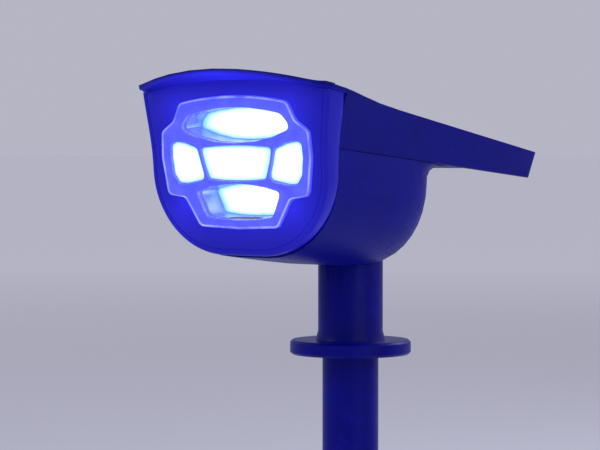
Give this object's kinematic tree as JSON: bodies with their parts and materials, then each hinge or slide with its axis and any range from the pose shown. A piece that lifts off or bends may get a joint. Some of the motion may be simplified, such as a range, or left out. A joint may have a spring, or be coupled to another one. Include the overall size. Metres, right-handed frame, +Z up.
{
  "type": "solar spotlight stake",
  "caption": "Ground-stake solar spotlight with a tilting helmet-shaped lamp head, a top solar panel and a swivelling pole.",
  "frame": {"origin": "on the pole's axis at the height of the ground line, where the collar above the buried spike meets the soil", "axes": "+Z up along the pole, the lamp shines towards -Y, +X to the lamp's left side as seen from behind it"},
  "size_m": [0.108, 0.1736, 0.3862],
  "materials": {
    "shell": "fine textured dark navy plastic, satin",
    "lens_plastic": "clear polycarbonate, gloss",
    "panel_glass": "clear tempered cover, gloss",
    "reflector_chrome": "vacuum-metallised reflector",
    "led_light": "lit LED packages, cool white to blue",
    "silicon": "monocrystalline solar cells, dark blue",
    "backsheet": "black laminate sheet",
    "rubber": "black silicone rubber",
    "steel": "zinc-plated steel",
    "circuit_green": "solder-masked circuit board",
    "circuit_white": "white solder mask and nylon connectors",
    "battery_wrap": "shrink-wrapped battery cell",
    "nylon": "black nylon",
    "wire_red": "red insulated wire",
    "wire_black": "black insulated wire"
  },
  "bodies": {
    "ground_stake": {"ground_spike": "shell", "pole_tube": "shell", "swivel_screw": "steel", "swivel_washer": "steel"},
    "neck": {"neck_tube": "shell"},
    "head": {"battery_cell": "battery_wrap", "battery_cradle": "nylon", "battery_wire_black": "wire_black", "battery_wire_red": "wire_red", "case_screw_1": "steel", "case_screw_2": "steel", "case_screw_3": "steel", "case_screw_4": "steel", "charge_connector": "circuit_white", "control_board": "circuit_green", "controller_chip": "nylon", "friction_washer_left": "nylon", "friction_washer_right": "nylon", "front_bezel": "shell", "lamp_connector": "circuit_white", "lamp_housing": "shell", "lamp_wire_black": "wire_black", "lamp_wire_red": "wire_red", "led_board": "circuit_white", "led_bottom": "led_light", "led_centre": "led_light", "led_left": "led_light", "led_right": "led_light", "led_top": "led_light", "lens_cover": "lens_plastic", "lens_gasket": "rubber", "panel_backsheet": "backsheet", "panel_gasket": "rubber", "panel_glass": "panel_glass", "pivot_bolt": "steel", "pivot_nut": "steel", "reflector_block": "reflector_chrome", "solar_cell_1_1": "silicon", "solar_cell_1_2": "silicon", "solar_cell_2_1": "silicon", "solar_cell_2_2": "silicon", "solar_cell_3_1": "silicon", "solar_cell_3_2": "silicon", "solar_cell_4_1": "silicon", "solar_cell_4_2": "silicon", "solar_wire_black": "wire_black", "solar_wire_red": "wire_red", "tactile_switch": "nylon", "top_frame": "shell"},
    "button": {"power_button": "rubber"}
  },
  "joints": [
    {"name": "neck_swivel", "type": "hinge", "parent": "ground_stake", "child": "neck", "pos_m": [0, 0, 0.109], "axis": [0, 0, 1], "continuous": true},
    {"name": "head_tilt", "type": "hinge", "parent": "neck", "child": "head", "pos_m": [0, 0, 0.163], "axis": [-1, 0, 0], "range_deg": [-15, 50]},
    {"name": "button_press", "type": "slide", "parent": "head", "child": "button", "axis": [0, -1, 0], "range_m": [0, 0.001], "stiffness_N_per_m": 1200}
  ]
}
